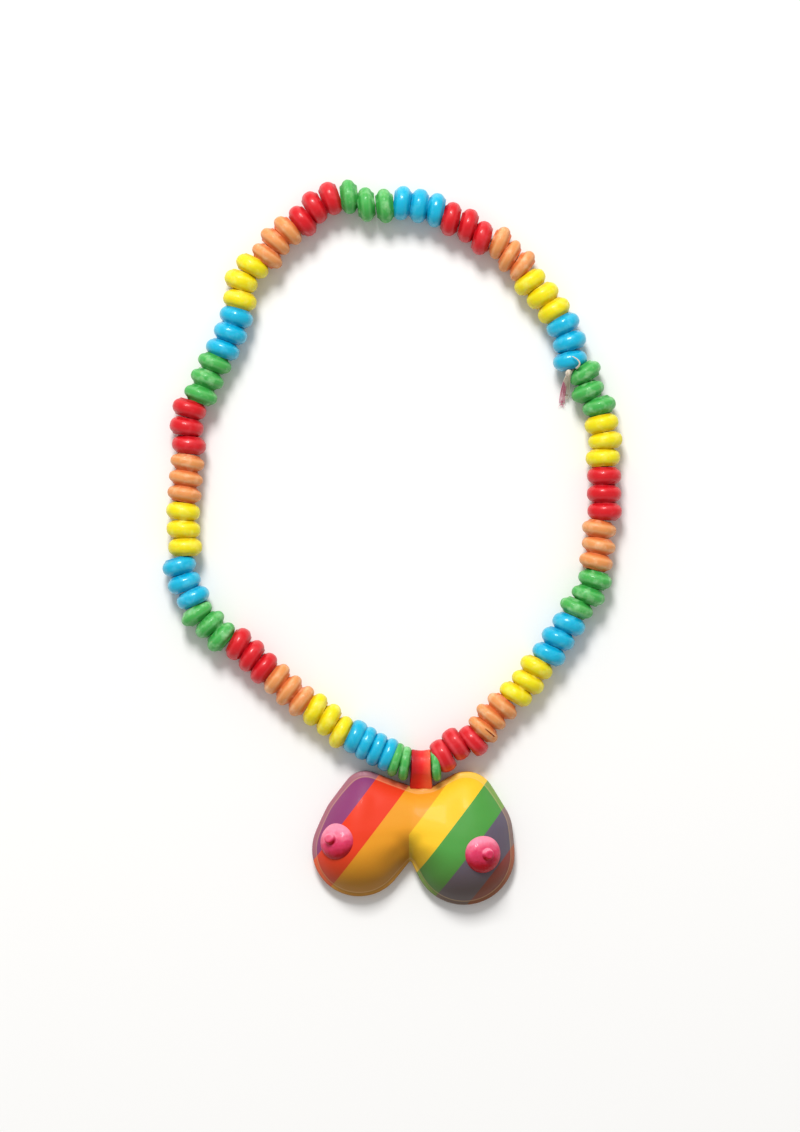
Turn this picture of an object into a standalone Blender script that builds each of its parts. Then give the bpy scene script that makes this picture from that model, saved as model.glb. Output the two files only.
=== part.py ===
"""Candy necklace laid flat: pressed sugar sweets in runs of one colour on a knotted elastic, with a
two-lobed candy pendant hanging from a red loop.

Metres, +Z up. The table is z = 0 and the sweets stand on their rims on it. The origin is on the
table under the middle of the whole, and the pendant lies towards -Y.
"""

import math
from collections import namedtuple

import bmesh
import bpy
from mathutils import Matrix, Vector

MM = 0.001
UP = Vector((0, 0, 1))

# Clearance between pieces that meet, and the distance at which two points are one
GAP = 0.0003
WELD = 0.000001
SMOOTH_BELOW = math.radians(40)

# Sweets
SWEET_RADIUS = 0.0055
SWEET_SIDES = 12
CONTACT_SHARE = 0.62
LAND_SHARE = 0.5
FUSE = 0.0003
LONE_SWEET = 0.0031
BORE_RADIUS = 0.0014
KNOT_ROOM = 0.0015

# Elastic
ELASTIC_RADIUS = 0.0005
END_RADIUS = 0.00042
KNOT_RADIUS = 0.0009

# Red loop that carries the pendant
LOOP_MIDDLE = (9.0, -71.0)
LOOP_WAIST = 0.0046
LOOP_RIM = 0.0049
LOOP_SIDES = 16
LOOP_WIDTH = 0.0060
FOOT_WIDTH = 0.0075
FOOT_REACH = 0.0098
FOOT_ROOT = 0.0045
FOOT_TOP = 0.0021
FOOT_BOTTOM = 0.0004
SOCKET_TOP = 0.0037

# Pendant
WALL_HEIGHT = 0.0042
SHOULDER = 0.0008
SQUASH = 0.95
BLEND = 0.0011
PENDANT_MIDDLE = (6.2, -93.6)
PENDANT_SIDES = 48
PENDANT_RINGS = 12
PENDANT_REACH = 0.045

# Pink caps
CAP_RADIUS = 0.0061
CAP_HEIGHT = 0.0040
CAP_SINK = 0.0013
CAP_FOOT = 0.0006
CAP_LEAN = 0.0010
CAP_SIDES = 16
NUB_RADIUS = 0.0017
NUB_SIDES = 8
NUB_RINGS = 5
POCKET_SIDES = 24

COLOURS = {
    "green": (0.07, 0.47, 0.10),
    "blue": (0.01, 0.42, 0.74),
    "red": (0.70, 0.01, 0.02),
    "orange": (0.92, 0.29, 0.10),
    "yellow": (0.86, 0.74, 0.02),
}

Run = namedtuple("Run", "colour count first last facing bow")
Sweet = namedtuple("Sweet", "centre facing")

# How the necklace lies, clockwise from the top: for each run of one colour, how many sweets it has,
# where its first and last sweet stand (mm), which way those two face along the string (degrees from
# +X), and how far the sweets between them stand out to the left of the straight line (mm).
RUNS = (
    Run("green", 3, (-14.1, 111.0), (-2.6, 108.1), (5, 6), -1.1),
    Run("blue", 3, (2.9, 109.0), (13.8, 106.8), (-7, -8), 0.2),
    Run("red", 3, (18.6, 103.9), (28.5, 97.8), (-13, -14), 1.0),
    Run("orange", 3, (34.3, 96.2), (41.5, 88.8), (-22, -35), -0.7),
    Run("yellow", 3, (43.9, 83.7), (51.6, 74.6), (-55, -59), 0.3),
    Run("blue", 3, (54.5, 69.9), (56.8, 58.5), (-64, -76), 1.0),
    Run("green", 3, (61.6, 54.4), (66.1, 43.9), (-57, -75), -1.5),
    Run("yellow", 3, (66.9, 38.2), (67.3, 27.3), (-77, -87), 1.0),
    Run("red", 3, (67.7, 21.5), (67.9, 10.1), (-90, -92), -0.1),
    Run("orange", 3, (66.1, 4.5), (65.1, -6.0), (-100, -104), 0.4),
    Run("green", 3, (64.8, -11.7), (58.8, -20.8), (-105, -113), 1.0),
    Run("blue", 3, (56.4, -26.0), (50.0, -35.6), (-113, -113), -0.3),
    Run("yellow", 3, (46.0, -39.8), (39.4, -48.4), (-117, -119), 0.7),
    Run("orange", 3, (35.0, -52.3), (28.9, -59.8), (-129, -130), -0.6),
    Run("red", 3, (25.7, -63.4), (16.0, -68.2), (-138, -153), -1.5),
    Run("green", 1, (13.7, -70.9), (13.7, -70.9), (-175, -175), 0.0),
    Run("green", 2, (3.8, -70.7), (0.9, -69.5), (171, 162), 0.0),
    Run("blue", 4, (-1.6, -67.9), (-12.1, -62.1), (158, 156), 0.2),
    Run("yellow", 3, (-16.7, -60.6), (-24.9, -53.4), (151, 152), -0.4),
    Run("orange", 3, (-29.4, -50.7), (-37.2, -43.6), (143, 144), 0.1),
    Run("red", 3, (-41.4, -40.1), (-49.5, -32.4), (143, 153), -0.1),
    Run("green", 3, (-55.1, -30.1), (-62.9, -22.7), (139, 125), -0.4),
    Run("blue", 3, (-64.1, -17.5), (-68.5, -7.4), (115, 106), 0.7),
    Run("yellow", 3, (-66.6, -1.3), (-67.3, 10.1), (90, 82), 0.2),
    Run("orange", 3, (-66.9, 15.7), (-65.9, 25.8), (80, 78), 0.0),
    Run("red", 3, (-65.4, 31.4), (-65.3, 43.0), (83, 73), 0.9),
    Run("green", 3, (-61.6, 47.5), (-57.2, 57.6), (71, 69), 0.2),
    Run("blue", 3, (-54.6, 62.1), (-50.2, 72.5), (71, 72), -0.3),
    Run("yellow", 3, (-49.1, 77.9), (-45.1, 88.8), (75, 62), 1.7),
    Run("orange", 3, (-40.3, 92.0), (-33.7, 100.2), (54, 43), 0.9),
    Run("red", 3, (-29.0, 103.3), (-20.0, 110.5), (39, 21), 1.0),
)
KNOT_AFTER = 6
LOOP_AFTER = 16

# Free ends of the elastic (mm), from the string between the two sweets at the knot: two run out
# through the knot and hang down the inner side of the green sweets to the table, and a short one
# curls back over the blue sweet.
KNOT = (56.2, 54.4, 9.0)
ENDS = (
    (
        (59.2, 56.45, 5.5), (57.5, 55.7, 7.4), (56.3, 54.5, 9.0),
        (55.3, 52.6, 7.6), (55.6, 50.0, 3.2), (56.7, 47.2, 0.75),
    ),
    (
        (59.2, 56.45, 5.5), (57.4, 55.7, 7.4), (56.1, 54.3, 9.0),
        (54.7, 52.4, 6.8), (54.3, 49.3, 2.0), (54.3, 44.5, 0.75),
    ),
    (
        (59.2, 56.45, 5.5), (59.2, 56.45, 9.0), (59.4, 57.0, 11.5),
        (58.9, 58.3, 12.1), (57.3, 59.6, 11.95),
    ),
)

# Balls whose smooth blend is the pendant, each with its middle on the table: x, y, radius (mm).
BALLS = (
    (-10.9, -98.4, 15.1), (-11.0, -90.3, 11.3), (-8.8, -80.8, 7.5),
    (22.8, -99.9, 16.3), (24.7, -92.8, 13.4), (23.5, -82.9, 9.4),
    (-3.5, -85.6, 9.8), (7.0, -90.5, 10.9), (15.8, -88.7, 10.1),
)

# Where each pink cap stands on the pendant, seen from above (mm).
CAPS = {"cap_left": (-18.9, -94.9), "cap_right": (29.5, -99.3)}


def clear_scene():
    for obj in list(bpy.data.objects):
        bpy.data.objects.remove(obj, do_unlink=True)


def material(name, colour, roughness):
    """A candy, plastic or thread of one colour."""
    made = bpy.data.materials.new(name)
    made.use_nodes = True
    shader = made.node_tree.nodes["Principled BSDF"]
    shader.inputs["Base Color"].default_value = (*colour, 1.0)
    shader.inputs["Roughness"].default_value = roughness
    shader.inputs["Metallic"].default_value = 0.0
    return made


def finished(obj, finish):
    """Gives a part its one material, and its round faces smooth shading."""
    obj.data.materials.clear()
    obj.data.materials.append(finish)
    obj.data.shade_smooth()
    obj.data.set_sharp_from_angle(angle=SMOOTH_BELOW)


def in_metres(spot, height=0.0):
    """A point in metres from x, y or x, y, z in millimetres, or x, y and a height in metres."""
    x, y, *z = spot
    return Vector((x * MM, y * MM, z[0] * MM if z else height))


def new_collection(name):
    made = bpy.data.collections.new(name)
    bpy.context.scene.collection.children.link(made)
    return made


def new_object(name, mesh, collection):
    obj = bpy.data.objects.new(name, mesh)
    collection.objects.link(obj)
    return obj


def new_cutter(name, mesh, cutters):
    obj = new_object(name, mesh, cutters)
    obj.hide_render = True
    obj.display_type = "WIRE"
    return obj


def mesh_from(work, name):
    """Ends an edit: the bmesh becomes a mesh that faces outwards."""
    bmesh.ops.recalc_face_normals(work, faces=work.faces)
    mesh = bpy.data.meshes.new(name)
    work.to_mesh(mesh)
    work.free()
    return mesh


def evaluated(obj):
    """The mesh that an object's modifiers or bevel make, with its loose seams welded."""
    bpy.context.view_layer.update()
    graph = bpy.context.evaluated_depsgraph_get()
    mesh = bpy.data.meshes.new_from_object(obj.evaluated_get(graph))
    mesh.transform(obj.matrix_world)
    work = bmesh.new()
    work.from_mesh(mesh)
    bpy.data.meshes.remove(mesh)
    bmesh.ops.remove_doubles(work, verts=work.verts, dist=WELD)
    return mesh_from(work, obj.name)


def cut_flat(work, point, normal):
    """Cuts away what lies beyond a plane and closes the cut with one flat face."""
    cut = bmesh.ops.bisect_plane(
        work,
        geom=work.verts[:] + work.edges[:] + work.faces[:],
        plane_co=point,
        plane_no=normal,
        dist=WELD,
        clear_outer=True,
    )
    rim = [part for part in cut["geom_cut"] if isinstance(part, bmesh.types.BMEdge)]
    if rim:
        bmesh.ops.contextual_create(work, geom=rim)


def cut_from(obj, cutter):
    modifier = obj.modifiers.new(cutter.name, "BOOLEAN")
    modifier.operation = "DIFFERENCE"
    modifier.object = cutter


def joined(name, meshes, collection):
    """One solid from overlapping meshes, by one Boolean union on a collection."""
    first, *others = meshes
    solid = new_object(name, first, collection)
    helpers = new_collection(name + "_pieces")
    for mesh in others:
        new_object(name + "_piece", mesh, helpers)
    modifier = solid.modifiers.new("join", "BOOLEAN")
    modifier.operation = "UNION"
    modifier.operand_type = "COLLECTION"
    modifier.collection = helpers
    solid.data = evaluated(solid)
    solid.modifiers.clear()
    for piece in list(helpers.objects):
        bpy.data.objects.remove(piece, do_unlink=True)
    bpy.data.collections.remove(helpers)
    return solid


def turned(name, profile, sides):
    """A turned mesh about Z from (radius, height) points, top to bottom."""
    line = bpy.data.meshes.new(name)
    edges = [(i, i + 1) for i in range(len(profile) - 1)]
    line.from_pydata([(radius, 0, height) for radius, height in profile], edges, [])
    guide = new_object(name, line, bpy.context.scene.collection)
    screw = guide.modifiers.new("turn", "SCREW")
    screw.steps = sides
    screw.render_steps = sides
    screw.use_merge_vertices = True
    screw.merge_threshold = WELD
    mesh = evaluated(guide)
    bpy.data.objects.remove(guide, do_unlink=True)
    return mesh


def tube(name, points, radius, closed):
    """A four-sided tube along a polyline, as a mesh."""
    curve = bpy.data.curves.new(name, "CURVE")
    curve.dimensions = "3D"
    curve.bevel_depth = radius
    curve.bevel_resolution = 0
    curve.use_fill_caps = not closed
    spline = curve.splines.new("POLY")
    spline.points.add(len(points) - 1)
    for spot, point in zip(spline.points, points):
        spot.co = (*point, 1.0)
    spline.use_cyclic_u = closed
    guide = new_object(name, curve, bpy.context.scene.collection)
    mesh = evaluated(guide)
    bpy.data.objects.remove(guide, do_unlink=True)
    bpy.data.curves.remove(curve)
    return mesh


def smooth_path(points):
    """The points, with one more halfway between each two, on the smooth curve through them all."""
    before = 2 * points[0] - points[1]
    after = 2 * points[-1] - points[-2]
    path = [points[0]]
    for a, b, c, d in zip([before, *points], points, points[1:], [*points[2:], after]):
        path += [(9 * (b + c) - a - d) / 16, c]
    return path


def facing(degrees):
    angle = math.radians(degrees)
    return Vector((math.cos(angle), math.sin(angle), 0))


def sweets_of(run):
    """Each sweet of a run: the middle of its hole and the way it faces."""
    first = in_metres(run.first, SWEET_RADIUS)
    last = in_metres(run.last, SWEET_RADIUS)
    left = UP.cross(last - first).normalized()
    turn = run.facing[1] - run.facing[0]
    spaces = max(run.count - 1, 1)
    sweets = []
    for i in range(run.count):
        aside = run.bow * MM if 0 < i < spaces else 0
        centre = first.lerp(last, i / spaces) + left * aside
        sweets.append(Sweet(centre, facing(run.facing[0] + turn * i / spaces)))
    return sweets


def thickness_of(run):
    """The widest step between neighbours along their facing, and a little more to fuse them."""
    sweets = sweets_of(run)
    if run.count == 1:
        return LONE_SWEET
    steps = [
        (b.centre - a.centre).dot((a.facing + b.facing).normalized())
        for a, b in zip(sweets, sweets[1:])
    ]
    return max(steps) + FUSE


def string_route():
    """The elastic's way: the middle of every sweet, and of the loop between its two neighbours."""
    route = []
    for number, run in enumerate(RUNS, 1):
        route += [sweet.centre for sweet in sweets_of(run)]
        if number == LOOP_AFTER:
            route.append(in_metres(LOOP_MIDDLE, SWEET_RADIUS))
    return route


def sweet_shape():
    """A turned sweet of radius 1 and thickness 1: flat contact faces, sloping crowns, a straight land."""
    upper = [(0, 0.5), (CONTACT_SHARE, 0.5), (1, LAND_SHARE / 2)]
    lower = [(radius, -height) for radius, height in reversed(upper)]
    return turned("sweet", upper + lower, SWEET_SIDES)


def placed_sweet(shape, sweet, thickness):
    """A copy of the shape on its rim, with one of its flats on the table."""
    half_side = math.pi / SWEET_SIDES
    radius = SWEET_RADIUS / math.cos(half_side)
    size = Matrix.Diagonal((radius, radius, thickness, 1))
    flat_down = Matrix.Rotation(half_side, 4, "Z")
    on_its_rim = Matrix.Rotation(math.pi / 2, 4, "Y")
    turn = Matrix.Rotation(math.atan2(sweet.facing.y, sweet.facing.x), 4, "Z")
    mesh = shape.copy()
    mesh.transform(Matrix.Translation(sweet.centre) @ turn @ on_its_rim @ size @ flat_down)
    return mesh


def trim(solid, point, normal):
    work = bmesh.new()
    work.from_mesh(solid.data)
    cut_flat(work, point, normal)
    solid.data = mesh_from(work, solid.name)


def loop_side(sign):
    """A point on one side face of the loop, and that face's outward normal."""
    lean = math.atan((FOOT_WIDTH - LOOP_WIDTH) / 2 / FOOT_REACH)
    normal = Vector((sign * math.cos(lean), math.sin(lean), 0))
    aside = Vector((sign * LOOP_WIDTH / 2, 0, 0))
    return in_metres(LOOP_MIDDLE, SWEET_RADIUS) + aside, normal


def part_runs(ending, starting, room):
    """Trims a run's last sweet and the next run's first one to flat faces either side of a gap."""
    end, solid = ending
    start, following = starting
    normal = (end.facing + start.facing).normalized()
    middle = (end.centre + start.centre) / 2
    trim(solid, middle - normal * room / 2, normal)
    trim(following, middle + normal * room / 2, -normal)


def add_sweets(parts, bore, finishes):
    """A solid for each run: its sweets fused, trimmed where it meets its neighbours, and bored."""
    shape = sweet_shape()
    solids = []
    for number, run in enumerate(RUNS, 1):
        thickness = thickness_of(run)
        meshes = [placed_sweet(shape, sweet, thickness) for sweet in sweets_of(run)]
        solids.append(joined(f"sweets_{number:02d}_{run.colour}", meshes, parts))
    bpy.data.meshes.remove(shape)

    for number, solid in enumerate(solids, 1):
        following = number % len(RUNS)
        if number == LOOP_AFTER:
            for neighbour, sign in ((solid, 1), (solids[following], -1)):
                point, normal = loop_side(sign)
                trim(neighbour, point + normal * GAP, -normal)
        else:
            ending = sweets_of(RUNS[number - 1])[-1], solid
            starting = sweets_of(RUNS[following])[0], solids[following]
            part_runs(ending, starting, KNOT_ROOM if number == KNOT_AFTER else GAP)

    for run, solid in zip(RUNS, solids):
        cut_from(solid, bore)
        finished(solid, finishes[run.colour])


def add_elastic(parts, finish):
    """The closed elastic with its knot and its free ends, all one piece."""
    meshes = [tube("elastic", string_route(), ELASTIC_RADIUS, closed=True)]
    for end in ENDS:
        path = smooth_path([in_metres(spot) for spot in end])
        meshes.append(tube("end", path, END_RADIUS, closed=False))
    knot = bmesh.new()
    bmesh.ops.create_icosphere(knot, subdivisions=1, radius=KNOT_RADIUS)
    bmesh.ops.translate(knot, verts=knot.verts, vec=in_metres(KNOT))
    meshes.append(mesh_from(knot, "knot"))
    finished(joined("elastic", meshes, parts), finish)


def add_loop(parts, bore, finish):
    """The red loop: a ring round the elastic, and a foot that slopes down into the pendant's side."""
    edge = LOOP_WIDTH / 2
    profile = [(0, edge), (LOOP_RIM, edge), (LOOP_WAIST, 0), (LOOP_RIM, -edge), (0, -edge)]
    ring = turned("ring", profile, LOOP_SIDES)
    ring.transform(Matrix.Rotation(math.pi / 2, 4, "Y"))

    foot = bmesh.new()
    bmesh.ops.create_cube(foot, size=1.0)
    for vert in foot.verts:
        above = vert.co.z > 0
        vert.co.x *= LOOP_WIDTH
        if vert.co.y > 0:
            vert.co.y = 0
            vert.co.z = FOOT_ROOT if above else -FOOT_ROOT
        else:
            vert.co.y = -FOOT_REACH
            vert.co.z = (FOOT_TOP if above else FOOT_BOTTOM) - SWEET_RADIUS

    loop = joined("loop", [ring, mesh_from(foot, "foot")], parts)
    flare = FOOT_WIDTH / LOOP_WIDTH - 1
    for vert in loop.data.vertices:
        vert.co.x *= 1 - flare * vert.co.y / FOOT_REACH
    loop.data.transform(Matrix.Translation(in_metres(LOOP_MIDDLE, SWEET_RADIUS)))
    cut_from(loop, bore)
    finished(loop, finish)


def form(point, inset):
    """Below zero inside the pendant: a smooth blend of balls, squashed in height."""
    total = 0.0
    for x, y, radius in BALLS:
        away = Vector((point.x - x * MM, point.y - y * MM, point.z / SQUASH)).length
        total += math.exp((radius * MM - inset - away) / BLEND)
    return -BLEND * math.log(total)


def way_out(start, direction, inset):
    """The point where a line from inside the form leaves it, found by halving."""
    inside, outside = 0.0, PENDANT_REACH
    while outside - inside > WELD / 10:
        middle = (inside + outside) / 2
        if form(start + direction * middle, inset) < 0:
            inside = middle
        else:
            outside = middle
    return start + direction * inside


def pendant_dome():
    """A sphere spread out to the form's outline and raised to its height, cut off inside the wall."""
    middle = in_metres(PENDANT_MIDDLE)
    dome = bmesh.new()
    bmesh.ops.create_uvsphere(
        dome, u_segments=PENDANT_SIDES, v_segments=PENDANT_RINGS, radius=1.0
    )
    for vert in dome.verts:
        plan = Vector((vert.co.x, vert.co.y, 0))
        outline = way_out(middle, plan.normalized(), SHOULDER)
        spot = middle.lerp(outline, min(plan.length, 1))
        vert.co = way_out(spot, UP, SHOULDER) if vert.co.z > 0 else spot
    cut_flat(dome, (0, 0, WALL_HEIGHT / 4), -UP)
    return mesh_from(dome, "dome")


def pendant_wall():
    """A low upright wall round the form's whole outline."""
    middle = in_metres(PENDANT_MIDDLE)
    wall = bmesh.new()
    bmesh.ops.create_cone(
        wall, cap_ends=True, segments=PENDANT_SIDES, radius1=1, radius2=1, depth=WALL_HEIGHT
    )
    for vert in wall.verts:
        height = vert.co.z + WALL_HEIGHT / 2
        plan = Vector((vert.co.x, vert.co.y, 0))
        vert.co = way_out(middle, plan.normalized(), 0) + UP * height
    return mesh_from(wall, "wall")


def foot_socket():
    """The space in the pendant's side for the end of the loop's foot."""
    bottom = FOOT_BOTTOM - GAP
    socket = bmesh.new()
    bmesh.ops.create_cube(socket, size=1.0)
    size = (FOOT_WIDTH + 2 * GAP, FOOT_REACH, SOCKET_TOP - bottom)
    bmesh.ops.scale(socket, verts=socket.verts, vec=size)
    middle = in_metres(LOOP_MIDDLE, (SOCKET_TOP + bottom) / 2)
    middle.y -= FOOT_REACH / 2 + GAP
    bmesh.ops.translate(socket, verts=socket.verts, vec=middle)
    return mesh_from(socket, "socket")


def stance(spot):
    """Where a cap stands: at one spot on the dome, its +Z square to the dome there."""
    top = way_out(in_metres(spot), UP, SHOULDER)
    slope = [
        form(top + axis * GAP, SHOULDER) - form(top - axis * GAP, SHOULDER)
        for axis in Matrix.Identity(3)
    ]
    normal = Vector(slope).normalized()
    foot = top - Vector((normal.x, normal.y, 0)) * CAP_LEAN
    return Matrix.Translation(foot) @ UP.rotation_difference(normal).to_matrix().to_4x4()


def cap_pocket(spot):
    """The round pocket that a cap sits in."""
    deep = CAP_SINK + CAP_FOOT + GAP
    radius = (CAP_RADIUS + GAP) / math.cos(math.pi / POCKET_SIDES)
    pocket = bmesh.new()
    bmesh.ops.create_cone(
        pocket, cap_ends=True, segments=POCKET_SIDES, radius1=radius, radius2=radius,
        depth=deep + CAP_HEIGHT,
    )
    bmesh.ops.translate(pocket, verts=pocket.verts, vec=UP * (CAP_HEIGHT - deep) / 2)
    pocket.transform(stance(spot))
    return mesh_from(pocket, "pocket")


def add_pendant(parts, cutters, finish):
    """The pendant: a two-lobed dome on a shoulder and a low wall, flat underneath."""
    pendant = joined("pendant", [pendant_dome(), pendant_wall()], parts)
    cut_from(pendant, new_cutter("foot_socket", foot_socket(), cutters))
    for name, spot in CAPS.items():
        cut_from(pendant, new_cutter(name + "_pocket", cap_pocket(spot), cutters))
    finished(pendant, finish)


def add_cap(name, spot, parts, finish):
    """A pink cap: a low dome with a round nub on top, its foot cut flat inside its pocket."""
    dome = bmesh.new()
    bmesh.ops.create_uvsphere(dome, u_segments=CAP_SIDES, v_segments=CAP_SIDES // 2, radius=1)
    bmesh.ops.scale(dome, verts=dome.verts, vec=(CAP_RADIUS, CAP_RADIUS, CAP_HEIGHT))
    cut_flat(dome, (0, 0, -CAP_FOOT), -UP)
    nub = bmesh.new()
    bmesh.ops.create_uvsphere(nub, u_segments=NUB_SIDES, v_segments=NUB_RINGS, radius=NUB_RADIUS)
    bmesh.ops.translate(nub, verts=nub.verts, vec=UP * CAP_HEIGHT)
    cap = joined(name, [mesh_from(dome, "dome"), mesh_from(nub, "nub")], parts)
    cap.data.transform(stance(spot) @ Matrix.Translation(UP * -CAP_SINK))
    finished(cap, finish)


def main():
    clear_scene()
    parts = new_collection("candy_necklace")
    cutters = new_collection("cutters")
    sweet_finishes = {
        name: material("sweet_" + name, colour, roughness=0.4) for name, colour in COLOURS.items()
    }
    thread = material("elastic", (0.80, 0.76, 0.68), roughness=0.8)
    red_plastic = material("loop", (0.60, 0.02, 0.02), roughness=0.25)
    amber_candy = material("pendant", (0.82, 0.45, 0.05), roughness=0.2)
    pink_candy = material("cap", (0.83, 0.10, 0.20), roughness=0.2)

    bore_mesh = tube("bore", string_route(), BORE_RADIUS, closed=True)
    bore = new_cutter("bore", bore_mesh, cutters)
    add_sweets(parts, bore, sweet_finishes)
    add_elastic(parts, thread)
    add_loop(parts, bore, red_plastic)
    add_pendant(parts, cutters, amber_candy)
    for name, spot in CAPS.items():
        add_cap(name, spot, parts, pink_candy)


main()
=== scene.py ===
# %% [markdown]
# # A candy necklace, dressed
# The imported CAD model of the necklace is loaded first. It is the frame: it fixes where every piece
# is and how big it is. Each cell after that models one kind of piece finely, gives it the finish of
# the real thing, and lets it stand in for the plain solid of the same name.

# %% Load the frame
import math
from collections import namedtuple

import bmesh
import bpy
from mathutils import Matrix, Vector


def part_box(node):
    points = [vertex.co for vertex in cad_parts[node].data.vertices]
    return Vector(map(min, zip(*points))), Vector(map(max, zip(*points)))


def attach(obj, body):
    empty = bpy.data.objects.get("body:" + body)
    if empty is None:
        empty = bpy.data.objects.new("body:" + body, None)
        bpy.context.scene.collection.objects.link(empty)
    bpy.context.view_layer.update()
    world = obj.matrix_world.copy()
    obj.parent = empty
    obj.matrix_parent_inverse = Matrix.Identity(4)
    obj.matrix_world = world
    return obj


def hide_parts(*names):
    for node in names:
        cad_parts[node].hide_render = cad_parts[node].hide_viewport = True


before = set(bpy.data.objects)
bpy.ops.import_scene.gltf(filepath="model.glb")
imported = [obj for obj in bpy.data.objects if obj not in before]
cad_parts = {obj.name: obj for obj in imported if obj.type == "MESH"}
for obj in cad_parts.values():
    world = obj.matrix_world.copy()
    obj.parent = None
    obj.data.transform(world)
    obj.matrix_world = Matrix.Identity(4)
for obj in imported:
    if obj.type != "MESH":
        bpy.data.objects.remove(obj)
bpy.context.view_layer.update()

print("nodes in the frame:", len(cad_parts))

# %% [markdown]
# ## Tools for working by hand
# Everything below is modelled as it would be with mouse and keyboard: a primitive is added, taken
# into edit mode, some of it is picked, and an operator acts on what is picked. Picking by script
# needs a rule instead of a click, so `pick` selects the faces, edges or vertices whose middle and
# normal pass a test.

# %% Edit mode, picking and modifiers
def deselect_everything():
    bpy.ops.object.select_all(action="DESELECT")


def make_active(piece):
    deselect_everything()
    bpy.context.view_layer.objects.active = piece
    piece.select_set(True)


def start_editing(piece):
    make_active(piece)
    bpy.ops.object.mode_set(mode="EDIT")
    bpy.ops.mesh.select_all(action="DESELECT")


def stop_editing():
    bpy.ops.object.mode_set(mode="OBJECT")


def pick(kind, test):
    """In edit mode, selects only the faces, edges or vertices whose middle (and normal) pass."""
    bpy.ops.mesh.select_mode(type=kind)
    bpy.ops.mesh.select_all(action="DESELECT")
    work = bmesh.from_edit_mesh(bpy.context.object.data)
    if kind == "FACE":
        chosen = [face for face in work.faces if test(face.calc_center_median(), face.normal)]
    elif kind == "EDGE":
        chosen = [edge for edge in work.edges if test((edge.verts[0].co + edge.verts[1].co) / 2)]
    else:
        chosen = [vert for vert in work.verts if test(vert.co)]
    for part in chosen:
        part.select_set(True)
    work.select_flush_mode()
    bmesh.update_edit_mesh(bpy.context.object.data)
    return len(chosen)


def apply_modifier(piece, kind, **settings):
    """Adds a modifier, sets it and applies it."""
    make_active(piece)
    modifier = piece.modifiers.new(kind.lower(), kind)
    for name, value in settings.items():
        setattr(modifier, name, value)
    bpy.ops.object.modifier_apply(modifier=modifier.name)


def join(pieces, name):
    """Joins pieces into one mesh whose object sits at the origin."""
    make_active(pieces[0])
    for piece in pieces:
        piece.select_set(True)
    if len(pieces) > 1:
        bpy.ops.object.join()
    bpy.ops.object.transform_apply(location=True, rotation=True, scale=True)
    pieces[0].name = name
    return pieces[0]


def own_copy(model):
    """A copy with its own mesh."""
    copy = model.copy()
    copy.data = model.data.copy()
    bpy.context.scene.collection.objects.link(copy)
    return copy


def from_axis(place):
    return math.hypot(place.x, place.y)


MM = 0.001
CORNER_ANGLE = math.radians(50)
print("tools ready; one millimetre is", MM, "m")

# %% [markdown]
# ## Tools for finishes
# A finish is a small tree of shader nodes. Two helpers are enough: one turns the sRGB hex colour
# that a paint chart gives into the linear values that light is worked out in, and one adds a node
# with its settings and links.

# %% Colours and nodes
def linear(hex_colour):
    """An sRGB hex colour as linear RGBA."""
    channels = [int(hex_colour[i:i + 2], 16) / 255 for i in (1, 3, 5)]
    lights = [c / 12.92 if c <= 0.04045 else ((c + 0.055) / 1.055) ** 2.4 for c in channels]
    return (*lights, 1.0)


def new_finish(name, **values):
    """A material and its shader, with the values that are the same all over."""
    finish = bpy.data.materials.new(name)
    finish.use_nodes = True
    shader = finish.node_tree.nodes["Principled BSDF"]
    for socket, value in values.items():
        shader.inputs[socket.replace("_", " ")].default_value = value
    return finish, shader


def add_node(finish, kind, inputs, **settings):
    """Adds a node. Each input is a value, or another node's output to link."""
    made = finish.node_tree.nodes.new(kind)
    for name, value in settings.items():
        setattr(made, name, value)
    for socket, value in inputs.items():
        if isinstance(value, bpy.types.NodeSocket):
            finish.node_tree.links.new(value, made.inputs[socket])
        else:
            made.inputs[socket].default_value = value
    return made


# A Mix node keeps its factor in socket 0. In colour mode its two colours and its result are in
# these sockets, and in number mode its two numbers are in those.
FACTOR, FIRST, SECOND, MIXED = 0, 6, 7, 2
FIRST_NUMBER, SECOND_NUMBER = 2, 3


def per_mm(size):
    """The scale of a pattern on Object coordinates whose features are this many millimetres."""
    return 1 / (size * MM)


print("white paint, linear:", [round(c, 3) for c in linear("#F0F0EE")])
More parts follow.
